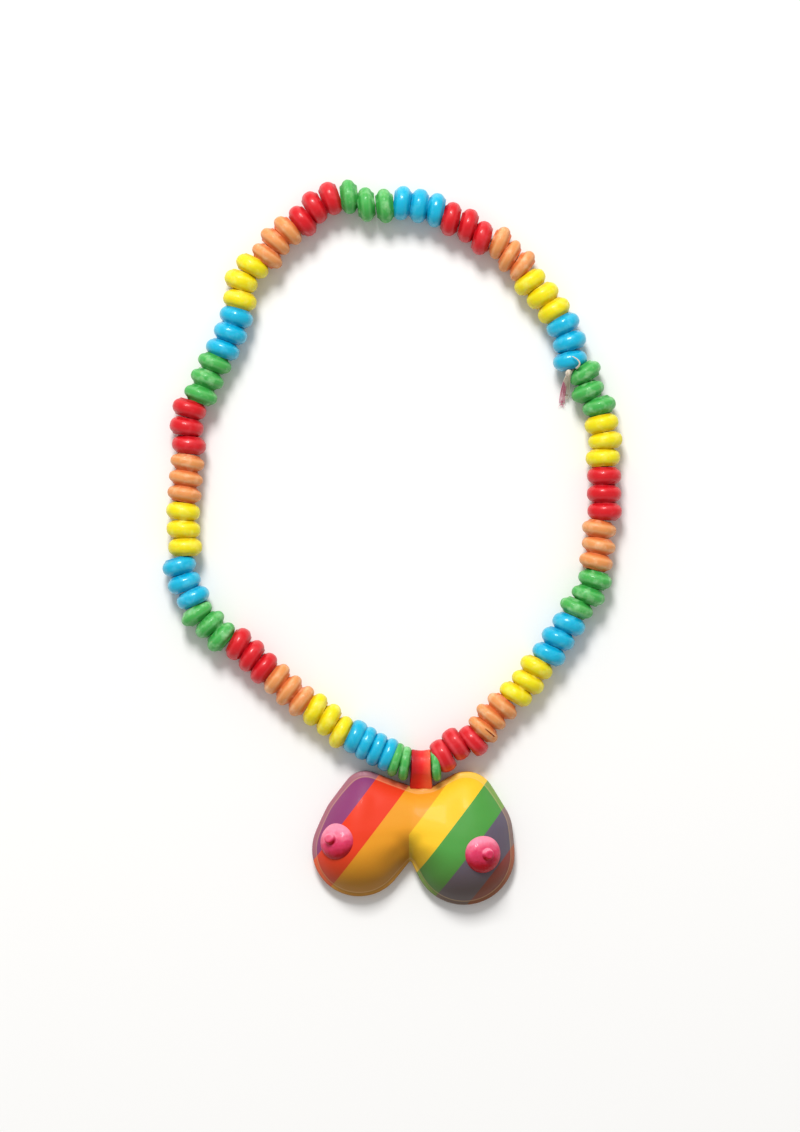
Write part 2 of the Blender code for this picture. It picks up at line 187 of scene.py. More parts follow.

# %% [markdown]
# ## How the necklace lies
# The sweets were threaded on elastic and the necklace was dropped on a table, so no two stand quite
# alike. There is no formula for that, so the lie of the string is a given list: for each
# run of one colour, how many sweets, where the first and last one stand, which way those two face
# along the string, and how far the ones between stand out to the left. Places are in millimetres
# and facings in degrees.

# %% The runs of sweets, clockwise from the top
Run = namedtuple("Run", "colour count first last facing bow")
RUNS = (
    Run("green", 3, (-14.1, 111.0), (-2.6, 108.1), (5, 6), -1.1),
    Run("blue", 3, (2.9, 109.0), (13.8, 106.8), (-7, -8), 0.2),
    Run("red", 3, (18.6, 103.9), (28.5, 97.8), (-13, -14), 1.0),
    Run("orange", 3, (34.3, 96.2), (41.5, 88.8), (-22, -35), -0.7),
    Run("yellow", 3, (43.9, 83.7), (51.6, 74.6), (-55, -59), 0.3),
    Run("blue", 3, (54.5, 69.9), (56.8, 58.5), (-64, -76), 1.0),
    Run("green", 3, (61.6, 54.4), (66.1, 43.9), (-57, -75), -1.5),
    Run("yellow", 3, (66.9, 38.2), (67.3, 27.3), (-77, -87), 1.0),
    Run("red", 3, (67.7, 21.5), (67.9, 10.1), (-90, -92), -0.1),
    Run("orange", 3, (66.1, 4.5), (65.1, -6.0), (-100, -104), 0.4),
    Run("green", 3, (64.8, -11.7), (58.8, -20.8), (-105, -113), 1.0),
    Run("blue", 3, (56.4, -26.0), (50.0, -35.6), (-113, -113), -0.3),
    Run("yellow", 3, (46.0, -39.8), (39.4, -48.4), (-117, -119), 0.7),
    Run("orange", 3, (35.0, -52.3), (28.9, -59.8), (-129, -130), -0.6),
    Run("red", 3, (25.7, -63.4), (16.0, -68.2), (-138, -153), -1.5),
    Run("green", 1, (13.7, -70.9), (13.7, -70.9), (-175, -175), 0.0),
    Run("green", 2, (3.8, -70.7), (0.9, -69.5), (171, 162), 0.0),
    Run("blue", 4, (-1.6, -67.9), (-12.1, -62.1), (158, 156), 0.2),
    Run("yellow", 3, (-16.7, -60.6), (-24.9, -53.4), (151, 152), -0.4),
    Run("orange", 3, (-29.4, -50.7), (-37.2, -43.6), (143, 144), 0.1),
    Run("red", 3, (-41.4, -40.1), (-49.5, -32.4), (143, 153), -0.1),
    Run("green", 3, (-55.1, -30.1), (-62.9, -22.7), (139, 125), -0.4),
    Run("blue", 3, (-64.1, -17.5), (-68.5, -7.4), (115, 106), 0.7),
    Run("yellow", 3, (-66.6, -1.3), (-67.3, 10.1), (90, 82), 0.2),
    Run("orange", 3, (-66.9, 15.7), (-65.9, 25.8), (80, 78), 0.0),
    Run("red", 3, (-65.4, 31.4), (-65.3, 43.0), (83, 73), 0.9),
    Run("green", 3, (-61.6, 47.5), (-57.2, 57.6), (71, 69), 0.2),
    Run("blue", 3, (-54.6, 62.1), (-50.2, 72.5), (71, 72), -0.3),
    Run("yellow", 3, (-49.1, 77.9), (-45.1, 88.8), (75, 62), 1.7),
    Run("orange", 3, (-40.3, 92.0), (-33.7, 100.2), (54, 43), 0.9),
    Run("red", 3, (-29.0, 103.3), (-20.0, 110.5), (39, 21), 1.0),
)
LOOP_AFTER = 16
print("sweets on the string:", sum(run.count for run in RUNS))

# %% Where every sweet stands
SWEET_RADIUS = 5.5 * MM
UP = Vector((0, 0, 1))
Sweet = namedtuple("Sweet", "centre facing")


def on_axis(spot):
    """A spot seen from above, in mm, as a point at the height of the string."""
    return Vector((spot[0] * MM, spot[1] * MM, SWEET_RADIUS))


def sweets_of(run):
    first = on_axis(run.first)
    last = on_axis(run.last)
    left = UP.cross(last - first).normalized()
    spaces = max(run.count - 1, 1)
    sweets = []
    for i in range(run.count):
        share = i / spaces
        aside = run.bow * MM if 0 < i < spaces else 0
        angle = math.radians(run.facing[0] + (run.facing[1] - run.facing[0]) * share)
        facing = Vector((math.cos(angle), math.sin(angle), 0))
        sweets.append(Sweet(first.lerp(last, share) + left * aside, facing))
    return sweets


runs_of_sweets = [sweets_of(run) for run in RUNS]
string = [sweet for run in runs_of_sweets for sweet in run]
print("the string is", round(sum(
    (b.centre - a.centre).length for a, b in zip(string, string[1:] + string[:1])
), 4), "m round")

# %% [markdown]
# ## Three kinds of sweet
# A necklace sweet is sugar pressed in a die: a disc with a band round its rim, a rounded crown on
# each side, a low neck that touches its neighbour, and a hole. It could be turned from a profile,
# but a cylinder gets there in a few strokes: inset both ends, extrude the necks and taper them,
# bridge the hole, squeeze the band, and round the edges with bevels. Each flavour has its own die:
# the green and orange ones are keen-edged, with a narrow band and deep grooves, and the others are
# plump. The ones near the red loop are squarer and sit almost flush.

# %% Press a sweet
HOLE_RADIUS = 1.4 * MM
HOLE_ROUNDING = 0.25 * MM
NECK_TAPER = 0.93
NECK_FOOT_ROUNDING = 0.5
NECK_TOP_ROUNDING = 0.45
# How near a picked edge or point has to be to its circle, and a picked face's normal to upright.
SAME_RADIUS = 0.03 * MM
SAME_HEIGHT = 0.02 * MM
JUST_OVER, JUST_UNDER = 1.02, 0.99
UPRIGHT = 0.9
Pressing = namedtuple("Pressing", "thickness contact neck band rounding")
KEEN = Pressing(5.8 * MM, 3.85 * MM, 0.6 * MM, 0.54, 1.0 * MM)
PLUMP = Pressing(5.8 * MM, 4.05 * MM, 0.45 * MM, 0.6, 1.15 * MM)
FLUSH = Pressing(4.2 * MM, 4.65 * MM, 0.2 * MM, 0.62, 0.95 * MM)


def ring_edge(radius, height):
    """A test for the edges that run round the sweet at one radius and height, on both sides."""
    def test(middle):
        near_radius = abs(from_axis(middle) - radius) < SAME_RADIUS
        return near_radius and abs(abs(middle.z) - height) < SAME_HEIGHT
    return test


def press(die):
    """Presses a sweet that stands on the origin with its hole upright."""
    top = die.thickness / 2
    crown = top - die.neck
    deselect_everything()
    bpy.ops.mesh.primitive_cylinder_add(vertices=64, radius=SWEET_RADIUS, depth=2 * crown)
    sweet = bpy.context.object
    start_editing(sweet)
    pick("FACE", lambda middle, normal: abs(normal.z) > UPRIGHT)
    bpy.ops.mesh.inset(thickness=SWEET_RADIUS - die.contact)
    for side in (1, -1):
        pick("FACE", lambda middle, normal: normal.z * side > UPRIGHT and from_axis(middle) < HOLE_RADIUS)
        bpy.ops.mesh.extrude_region_move(TRANSFORM_OT_translate={"value": (0, 0, side * die.neck)})
        bpy.ops.transform.resize(value=(NECK_TAPER, NECK_TAPER, 1), center_override=(0, 0, 0))
    pick("FACE", lambda middle, normal: abs(normal.z) > UPRIGHT and from_axis(middle) < HOLE_RADIUS)
    bpy.ops.mesh.inset(thickness=die.contact * NECK_TAPER - HOLE_RADIUS)
    bpy.ops.mesh.delete(type="FACE")
    pick("EDGE", lambda middle: from_axis(middle) < HOLE_RADIUS * JUST_OVER)
    bpy.ops.mesh.bridge_edge_loops()
    pick("VERT", lambda place: from_axis(place) > SWEET_RADIUS * JUST_UNDER)
    bpy.ops.transform.resize(value=(1, 1, die.band), center_override=(0, 0, 0))
    pick("EDGE", ring_edge(SWEET_RADIUS, crown * die.band))
    bpy.ops.mesh.bevel(offset=die.rounding, segments=6, affect="EDGES")
    pick("EDGE", ring_edge(die.contact, crown))
    bpy.ops.mesh.bevel(offset=die.neck * NECK_FOOT_ROUNDING, segments=3, affect="EDGES")
    pick("EDGE", ring_edge(die.contact * NECK_TAPER, top))
    bpy.ops.mesh.bevel(offset=die.neck * NECK_TOP_ROUNDING, segments=3, affect="EDGES")
    pick("EDGE", ring_edge(HOLE_RADIUS, top))
    bpy.ops.mesh.bevel(offset=HOLE_ROUNDING, segments=2, affect="EDGES")
    bpy.ops.mesh.select_all(action="SELECT")
    bpy.ops.mesh.normals_make_consistent(inside=False)
    stop_editing()
    bpy.ops.object.shade_smooth()
    return sweet


dies = {"keen": KEEN, "plump": PLUMP, "flush": FLUSH}
sweet_models = {name: press(die) for name, die in dies.items()}
print("faces:", {name: len(sweet.data.polygons) for name, sweet in sweet_models.items()})
for name, sweet in sweet_models.items():
    print(name, "measures", [round(side / MM, 2) for side in sweet.dimensions], "mm")

# %% [markdown]
# The finish will need to know how deep in a groove a point lies, for the painted shade there, and
# how near it is to the corner of the band, which is painted pale, partly as wear and partly as a
# painted highlight. Both are easiest to tell now, while a sweet stands upright on the origin, so
# they are kept on the mesh as attributes and travel with every copy.

# %% Remember the groove and the corner, for painted shade and a painted highlight
CORNER_REACH = 0.7 * MM
# How strongly each kind shows its pale corners, partly wear and partly painted highlight.
WEAR_AND_HIGHLIGHT = {"keen": 1.0, "plump": 0.4, "flush": 1.0}
for name, die in dies.items():
    band_edge = (die.thickness / 2 - die.neck) * die.band
    mesh = sweet_models[name].data
    groove = mesh.attributes.new("groove", "FLOAT", "POINT")
    corner = mesh.attributes.new("corner", "FLOAT", "POINT")
    for vert in mesh.vertices:
        radius = from_axis(vert.co)
        depth = (SWEET_RADIUS - radius) / (SWEET_RADIUS - die.contact)
        groove.data[vert.index].value = min(max(depth, 0), 1)
        away = math.hypot(radius - SWEET_RADIUS, abs(vert.co.z) - band_edge)
        corner.data[vert.index].value = max(1 - away / CORNER_REACH, 0) * WEAR_AND_HIGHLIGHT[name]
    print(name, "has", [a.name for a in mesh.attributes if not a.name.startswith(".")])

# %% [markdown]
# ## Finish: pressed sugar
# The sweets are dextrose pressed dry and coated with a little fat, so they are coloured right
# through, waxy rather than glassy, and slightly grainy. The grooves are painted deeper in colour:
# painted shade. A pale dusty bloom shows in patches, and the corners of the band are painted pale,
# partly as wear and partly as a painted highlight.

# %% Mix pressed sugar in one colour
BLOOM_PATCH = 3.0
SUGAR_GRAIN = 0.35
GRAIN_DEPTH = 0.06 * MM


def pressed_sugar(name, body, groove_shade, bloom_and_highlight, roughness, coat, worn_and_highlit, dusty):
    """Pressed dextrose: waxy, grainy, with painted shade in the grooves, and paler in patches and on the
    band's corners, partly wear and partly painted highlight.
    """
    finish, shader = new_finish(
        name, Roughness=roughness, Specular_IOR_Level=0.3, Coat_Weight=coat, Coat_Roughness=0.12,
        Subsurface_Weight=0.18, Subsurface_Scale=1.2 * MM,
    )
    place = add_node(finish, "ShaderNodeTexCoord", {}).outputs["Object"]
    in_groove = add_node(finish, "ShaderNodeAttribute", {}, attribute_name="groove")
    on_corner = add_node(finish, "ShaderNodeAttribute", {}, attribute_name="corner")
    # Painted shade: the colour goes deeper towards the bottom of each groove.
    groove_shade_share = add_node(finish, "ShaderNodeMapRange", {
        "Value": in_groove.outputs["Fac"], "From Min": 0.3, "From Max": 1.0, "To Max": 0.75,
    })
    patches = add_node(finish, "ShaderNodeTexNoise", {
        "Vector": place, "Scale": per_mm(BLOOM_PATCH), "Detail": 3.0,
    })
    patch_share = add_node(finish, "ShaderNodeMapRange", {
        "Value": patches.outputs["Fac"], "From Min": 0.5, "From Max": 0.75, "To Max": dusty,
    })
    # The band's corners are painted pale: partly wear, partly a painted highlight.
    rubbed_and_highlit = add_node(finish, "ShaderNodeMath", {
        0: on_corner.outputs["Fac"], 1: worn_and_highlit, 2: patch_share.outputs["Result"],
    }, operation="MULTIPLY_ADD", use_clamp=True)
    painted_shade_mix = add_node(finish, "ShaderNodeMix", {
        FACTOR: groove_shade_share.outputs["Result"], FIRST: linear(body), SECOND: linear(groove_shade),
    }, data_type="RGBA")
    coloured = add_node(finish, "ShaderNodeMix", {
        FACTOR: rubbed_and_highlit.outputs[0], FIRST: painted_shade_mix.outputs[MIXED], SECOND: linear(bloom_and_highlight),
    }, data_type="RGBA")
    grain = add_node(finish, "ShaderNodeTexNoise", {
        "Vector": place, "Scale": per_mm(SUGAR_GRAIN), "Detail": 2.0,
    })
    relief = add_node(finish, "ShaderNodeBump", {
        "Height": grain.outputs["Fac"], "Strength": 0.25, "Distance": GRAIN_DEPTH,
    })
    finish.node_tree.links.new(coloured.outputs[MIXED], shader.inputs["Base Color"])
    finish.node_tree.links.new(relief.outputs["Normal"], shader.inputs["Normal"])
    return finish


# Each has a body colour, a deep colour for the painted shade in the grooves, a bloom colour that also
# paints the highlight on the corners, roughness, coat, worn and highlight share, dusty share.
SUGARS = {
    "green": ("#44AA4C", "#248A32", "#A8E0A4", 0.5, 0.14, 0.2, 0.55),
    "blue": ("#00AED2", "#0086B4", "#5CD0EC", 0.32, 0.4, 0.15, 0.5),
    "red": ("#D00A18", "#A80614", "#F06068", 0.4, 0.25, 0.5, 0.2),
    "orange": ("#DE9050", "#CC5822", "#F4C89C", 0.52, 0.08, 0.3, 0.55),
    "yellow": ("#E8D800", "#D4AC00", "#F8EE70", 0.46, 0.14, 0.3, 0.55),
}
sugar = {colour: pressed_sugar("pressed_sugar_" + colour, *looks) for colour, looks in SUGARS.items()}
print("sugar in", ", ".join(sugar))

# %% [markdown]
# ## All the sweets
# A sweet is copied to every place, each copy with its own mesh, and drawn out along its axis until
# it just fills the room between its neighbours. The flush ones fill the wider of the two rooms, so
# they press into each other. The sweets of one colour become one piece. A Displace modifier then
# gives each its own dents, because it reads the place and no two sweets share one.

# %% How thick each sweet is
LOOP_WIDTH = 6.0 * MM


def room_between(a, b):
    return (b.centre - a.centre).dot((a.facing + b.facing).normalized())


loop_middle = on_axis((9.0, -71.0))
FLUSH_RUNS = (15, 16, 17, 18)
run_numbers = [number for number, run in enumerate(RUNS, 1) for _ in range(run.count)]
sweets_before_loop = sum(run.count for run in RUNS[:LOOP_AFTER])
rooms = [room_between(a, b) for a, b in zip(string, string[1:] + string[:1])]
thicknesses = []
for i, sweet in enumerate(string):
    before, after = rooms[i - 1], rooms[i]
    beside_loop = i in (sweets_before_loop - 1, sweets_before_loop)
    if beside_loop:
        to_loop = abs(sweet.centre.x - loop_middle.x) - LOOP_WIDTH / 2
        other = before if i < sweets_before_loop else after
        thicknesses.append(min(2 * to_loop, other))
    elif run_numbers[i] in FLUSH_RUNS:
        thicknesses.append(max(before, after))
    else:
        thicknesses.append((before + after) / 2)
print("sweets are", round(min(thicknesses), 4), "to", round(max(thicknesses), 4), "m thick")

# %% Ready to thread them
Unevenness = namedtuple("Unevenness", "size depth")
DENTS = Unevenness(4 * MM, 0.35 * MM)
CHIPS = Unevenness(1.1 * MM, 0.07 * MM)
dents = bpy.data.textures.new("dents", "CLOUDS")
dents.noise_scale = DENTS.size
chips = bpy.data.textures.new("chips", "CLOUDS")
chips.noise_scale = CHIPS.size
TURN_BETWEEN = math.radians(137.5)


def stand_in(piece, node, finish):
    """Lets a finished piece take the place of a CAD node, and prints how far their boxes differ."""
    piece.data.materials.clear()
    piece.data.materials.append(finish)
    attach(piece, "root")
    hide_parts(node)
    bpy.context.view_layer.update()
    wanted = [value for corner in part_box(node) for value in corner]
    xs, ys, zs = zip(*(vert.co for vert in piece.data.vertices))
    got = [min(xs), min(ys), min(zs), max(xs), max(ys), max(zs)]
    apart = max(abs(a - b) for a, b in zip(wanted, got))
    print(piece.name, "replaces", node, "with", len(piece.data.polygons), "faces, boxes within",
          round(apart / MM, 2), "mm")


DIE_OF = {"green": "keen", "orange": "keen", "blue": "plump", "red": "plump", "yellow": "plump"}


def threaded(number, sweet, kind):
    """A copy of one kind of sweet in its place on the string."""
    copy = own_copy(sweet_models[kind])
    stretch = Matrix.Diagonal((1, 1, thicknesses[number] / dies[kind].thickness, 1))
    roll = Matrix.Rotation(TURN_BETWEEN * number, 4, "Z")
    on_rim = Matrix.Rotation(math.pi / 2, 4, "Y")
    turn = Matrix.Rotation(math.atan2(sweet.facing.y, sweet.facing.x), 4, "Z")
    copy.matrix_world = Matrix.Translation(sweet.centre) @ turn @ on_rim @ roll @ stretch
    return copy


print("sweets of the flush kind:", sum(RUNS[number - 1].count for number in FLUSH_RUNS))

# %% [markdown]
# One orange sweet has a dark crack along its band. It is cut while that sweet is still apart: a
# flat, pointed cutter, made from a cylinder, is sunk into the top of its rim and taken away with a
# Boolean.

# %% Crack a sweet
CRACKED_RUN = 14
CRACK_MIDDLE = (31.2, -60.9, 10.3)
CRACK_SIZE = (4.8 * MM, 0.5 * MM, 1.9 * MM)
CRACK_TILT = math.radians(26)
CRACK_TURN = math.radians(-40)


def crack(sweet):
    """Cuts the crack into one sweet."""
    deselect_everything()
    bpy.ops.mesh.primitive_cylinder_add(
        vertices=16, radius=0.5, depth=1, location=Vector(CRACK_MIDDLE) * MM,
        rotation=(0, CRACK_TILT, CRACK_TURN), scale=CRACK_SIZE,
    )
    cutter = join([bpy.context.object], "crack_cutter")
    # The crack's walls are marked as deep in a groove, so the finish gives them its painted shade.
    deep_inside = cutter.data.attributes.new("groove", "FLOAT", "POINT")
    for vert in cutter.data.vertices:
        deep_inside.data[vert.index].value = 1
    faces_before = len(sweet.data.polygons)
    apply_modifier(sweet, "BOOLEAN", operation="DIFFERENCE", object=cutter, solver="EXACT")
    bpy.data.objects.remove(cutter)
    print("the crack added", len(sweet.data.polygons) - faces_before, "faces")


# %% Thread them all
numbers = iter(range(len(string)))
for number, (run, sweets) in enumerate(zip(RUNS, runs_of_sweets), 1):
    kind = "flush" if number in FLUSH_RUNS else DIE_OF[run.colour]
    copies = [threaded(next(numbers), sweet, kind) for sweet in sweets]
    if number == CRACKED_RUN:
        crack(copies[-1])
    node = f"sweets_{number:02d}_{run.colour}"
    piece = join(copies, "sugar_" + node)
    apply_modifier(piece, "DISPLACE", texture=dents, strength=DENTS.depth, mid_level=0.5)
    apply_modifier(piece, "DISPLACE", texture=chips, strength=CHIPS.depth, mid_level=0.5)
    stand_in(piece, node, sugar[run.colour])
for model in sweet_models.values():
    bpy.data.objects.remove(model)

# %% [markdown]
# ## The pendant
# The pendant is cast candy: two swelling lobes that run together at the top, on a low upright wall
# with a soft shoulder, and flat behind where it lay in its mould. Sculpting it freely would lose its
# measured outline, so it is built up like clay instead. Balls of a known size are set in groups, and
# a convex hull stretches a skin over each group, as a cloth drawn tight would. Short posts of the
# same groups make the wall.

# %% Stretch a skin over balls
SHOULDER = 0.3 * MM
WALL_HEIGHT = 4.2 * MM
WALL_SUNK = 3.0 * MM


def stretch_skin(lumps, name):
    """Joins lumps and draws one tight skin over them all."""
    skin = join(lumps, name)
    start_editing(skin)
    bpy.ops.mesh.select_all(action="SELECT")
    bpy.ops.mesh.convex_hull()
    stop_editing()
    return skin


def swelling(balls):
    """The dome over a group of balls: x, y, radius and height in mm, the middle on the table."""
    lumps = []
    for x, y, radius, height in balls:
        spot = (x * MM, y * MM, 0)
        inside_shoulder = radius * MM - SHOULDER
        deselect_everything()
        bpy.ops.mesh.primitive_uv_sphere_add(
            segments=96, ring_count=48, radius=inside_shoulder, location=spot
        )
        bpy.ops.transform.resize(value=(1, 1, height * MM / inside_shoulder), center_override=spot)
        lumps.append(bpy.context.object)
    return stretch_skin(lumps, "swelling")


def footing(balls):
    """The wall under a group of balls."""
    posts = []
    for x, y, radius, _ in balls:
        deselect_everything()
        bpy.ops.mesh.primitive_cylinder_add(
            vertices=96, radius=radius * MM, depth=WALL_HEIGHT + WALL_SUNK,
            location=(x * MM, y * MM, (WALL_HEIGHT - WALL_SUNK) / 2),
        )
        posts.append(bpy.context.object)
    return stretch_skin(posts, "footing")


print("the wall is", round(WALL_HEIGHT / MM, 1), "mm high, its shoulder", round(SHOULDER / MM, 1), "mm")

# %% [markdown]
# Each lobe is a row of balls whose tops follow a round ridge, and its last two are smaller ones that
# reach over to the notch between the lobes. The bridge is a lower row that joins the top ends of
# the two, skinned pair by pair, so that its upper edge can curve inwards. One more skin on each side
# fills the valley in front of it.

# %% Pile up the lobes and the bridge between them
LEFT_TOP = (-8.8, -80.8, 7.6, 8.8)
LEFT_LOBE = (
    (-10.9, -98.4, 15.1, 13.6), (-11.0, -94.4, 13.4, 13.3), (-11.0, -90.3, 11.6, 12.5),
    (-9.9, -85.5, 9.6, 11.2), LEFT_TOP, (-1.0, -95.6, 7.5, 12.2), (1.4, -98.7, 5.3, 9.8),
)
RIGHT_TOP = (23.5, -82.9, 9.5, 10.0)
RIGHT_LOBE = (
    (22.8, -99.9, 16.3, 14.7), (23.8, -96.3, 15.0, 14.4), (24.7, -92.8, 13.7, 13.7),
    (24.1, -87.8, 11.6, 12.4), RIGHT_TOP, (11.8, -96.2, 7.7, 12.6), (10.0, -99.3, 5.0, 9.8),
)
BRIDGE = ((-3.5, -85.6, 10.1, 10.2), (6.6, -90.2, 11.1, 10.4), (15.8, -88.7, 10.6, 11.0))
VALLEY = (6.0, -91.6, 8.2, 11.0)
span = [LEFT_TOP, *BRIDGE, RIGHT_TOP]
pairs = list(zip(span, span[1:]))
lobes = {"left": [LEFT_LOBE], "right": [RIGHT_LOBE]}
lobes["left"].append((LEFT_LOBE[1], BRIDGE[0], BRIDGE[1], VALLEY))
lobes["right"].append((RIGHT_LOBE[1], BRIDGE[2], BRIDGE[1], VALLEY))
piles = [[swelling(group) for group in (*groups, *pairs)] for groups in lobes.values()]
walls = [footing(group) for group in (LEFT_LOBE, RIGHT_LOBE, *pairs)]
print("domes in each pile:", len(piles[0]), "walls:", len(walls))

# %% [markdown]
# A voxel remesh turns a pile into one skin of even squares, and a Smooth modifier lets the creases
# flow, as melted sugar does. Each lobe flows far into the bridge, but the two lobes only just meet
# and keep a crease between them, and the wall keeps its edge. So each lobe is melted with the bridge
# first, and the two piles and the wall are melted together a little afterwards. A bisect then cuts
# the back flat.

# %% Melt the pile into one skin and cut the back flat
CUT_THRESHOLD = 0.001 * MM
DOME_VOXEL, DOME_ROUNDS = 0.5 * MM, 46
PENDANT_VOXEL, PENDANT_ROUNDS = 0.4 * MM, 10


def melt(piece, voxel, rounds):
    """Turns a pile into one skin and lets it flow."""
    apply_modifier(piece, "REMESH", mode="VOXEL", voxel_size=voxel)
    apply_modifier(piece, "SMOOTH", factor=0.5, iterations=rounds)


def cut_flat(piece, height):
    """Cuts off what lies below a height, closes the cut, and shades all smooth but the corners."""
    start_editing(piece)
    bpy.ops.mesh.select_all(action="SELECT")
    bpy.ops.mesh.bisect(
        plane_co=(0, 0, height), plane_no=(0, 0, 1), use_fill=True, clear_inner=True,
        threshold=CUT_THRESHOLD,
    )
    stop_editing()
    make_active(piece)
    bpy.ops.object.shade_smooth_by_angle(angle=CORNER_ANGLE)


domes = [join(pile, "dome") for pile in piles]
for dome in domes:
    melt(dome, DOME_VOXEL, DOME_ROUNDS)
pendant = join([*domes, *walls], "striped_pendant")
melt(pendant, PENDANT_VOXEL, PENDANT_ROUNDS)
cut_flat(pendant, 0)
print("faces of the pendant:", len(pendant.data.polygons))

# %% [markdown]
# How far each point faces away from the key lamp is kept on the mesh, for the painted shade in the
# finishes: their colour is darker on the side that faces away from the lamp.

# %% Remember the side away from the lamp
FROM_LAMP_WAY = Vector((0.12, -0.99, 0))


def mark_faces_from_lamp(piece):
    """Keeps on each point how far it faces away from the key lamp, for painted shade: 1 fully, -1 the
    other way.
    """
    faces_from_lamp = piece.data.attributes.new("faces_from_lamp", "FLOAT", "POINT")
    for vert in piece.data.vertices:
        faces_from_lamp.data[vert.index].value = vert.normal.dot(FROM_LAMP_WAY)


mark_faces_from_lamp(pendant)
print("attribute:", pendant.data.attributes["faces_from_lamp"].name)

# %% [markdown]
# ## Finish: striped glazed candy
# The rainbow runs straight across both lobes, slanting up to the right, as if the colours were laid
# in the mould in bands. The candy is cast sugar with a thin glaze, so it is smooth with a satin
# shine. Low down, on the wall and the shoulder, the candy is thin and milky and the stripes are
# mixed paler, which also paints the highlight along the shoulder. On the side away from the lamp the
# stripes go brown: painted shade. A fine pale line runs round just above the shoulder: a painted
# highlight.

# %% Lay the stripes
STRIPE_SLOPE = math.radians(-37.5)
FIRST_EDGE = 41.6 * MM
STRIPE_WIDTH = 9.56 * MM
AMBER_EDGE = FIRST_EDGE + 2 * STRIPE_WIDTH
JUST_INSIDE = 0.1 * MM
CREASE_X = 5.1 * MM
STRIPES = ("#8A3E6E", "#E03A1C", "#E29624", "#F2C02A", "#4E9642", "#645A6A", "#943A38")
MILK_AND_HIGHLIGHT = "#F0C792"
PAINTED_SHADE = "#4A3A08"

striped_candy, shader = new_finish(
    "glazed_striped_candy", Roughness=0.5, Specular_IOR_Level=0.16,
    Coat_Weight=0.03, Coat_Roughness=0.08,
    Subsurface_Weight=0.1, Subsurface_Scale=1.5 * MM,
)
place = add_node(striped_candy, "ShaderNodeTexCoord", {}).outputs["Object"]
across = add_node(striped_candy, "ShaderNodeVectorMath", {
    0: place, 1: (math.cos(STRIPE_SLOPE), math.sin(STRIPE_SLOPE), 0),
}, operation="DOT_PRODUCT")
sides = add_node(striped_candy, "ShaderNodeSeparateXYZ", {"Vector": place})
held_back = add_node(striped_candy, "ShaderNodeMath", {
    0: across.outputs["Value"], 1: AMBER_EDGE - JUST_INSIDE,
}, operation="MINIMUM")
right_of_crease = add_node(striped_candy, "ShaderNodeMath", {
    0: sides.outputs["X"], 1: CREASE_X,
}, operation="GREATER_THAN")
laid = add_node(striped_candy, "ShaderNodeMix", {
    FACTOR: right_of_crease.outputs[0], FIRST_NUMBER: held_back.outputs[0],
    SECOND_NUMBER: across.outputs["Value"],
})
stripe_number = add_node(striped_candy, "ShaderNodeMapRange", {
    "Value": laid.outputs[0], "From Min": FIRST_EDGE - STRIPE_WIDTH,
    "From Max": FIRST_EDGE + STRIPE_WIDTH * (len(STRIPES) - 1),
})
stripes = add_node(striped_candy, "ShaderNodeValToRGB", {"Fac": stripe_number.outputs["Result"]})
stripes.color_ramp.interpolation = "CONSTANT"
stripes.color_ramp.elements[0].color = linear(STRIPES[0])
for i, colour in enumerate(STRIPES[1:], 1):
    stripes.color_ramp.elements.new(i / len(STRIPES)).color = linear(colour)
stripes.color_ramp.elements.remove(stripes.color_ramp.elements[-1])
print("stripes:", len(stripes.color_ramp.elements))

# %% Thin the wall and the shoulder, paint their highlights, and paint the shade away from the lamp
MILKY_HIGHLIT_BELOW = 4.6 * MM
MILKY_HIGHLIT_FADE = 0.8 * MM
MILKY_HIGHLIT_SHARE = 0.18
PAINTED_SHADE_SHARE = 0.56
HIGHLIGHT_LINE_HEIGHT = 5.0 * MM
HIGHLIGHT_LINE_REACH = 0.4 * MM
HIGHLIGHT_LINE_SHARE = 0.32
RIPPLE_WIDTH = 2.5
# Partly thin milky candy, partly a painted highlight: the wall and the shoulder are mixed towards pale
# peach.
milky_highlit = add_node(striped_candy, "ShaderNodeMapRange", {
    "Value": sides.outputs["Z"], "From Min": MILKY_HIGHLIT_BELOW + MILKY_HIGHLIT_FADE, "From Max": MILKY_HIGHLIT_BELOW,
    "To Max": MILKY_HIGHLIT_SHARE,
})
thinned_and_highlit = add_node(striped_candy, "ShaderNodeMix", {
    FACTOR: milky_highlit.outputs["Result"], FIRST: stripes.outputs["Color"], SECOND: linear(MILK_AND_HIGHLIGHT),
}, data_type="RGBA")
faces_from_lamp = add_node(striped_candy, "ShaderNodeAttribute", {}, attribute_name="faces_from_lamp")
# Painted shade: the stripes go brown where the surface faces away from the key lamp.
painted_shade_amount = add_node(striped_candy, "ShaderNodeMapRange", {
    "Value": faces_from_lamp.outputs["Fac"], "From Min": -0.1, "From Max": 0.65, "To Max": PAINTED_SHADE_SHARE,
})
with_painted_shade = add_node(striped_candy, "ShaderNodeMix", {
    FACTOR: painted_shade_amount.outputs["Result"], FIRST: thinned_and_highlit.outputs[MIXED], SECOND: linear(PAINTED_SHADE),
}, data_type="RGBA")
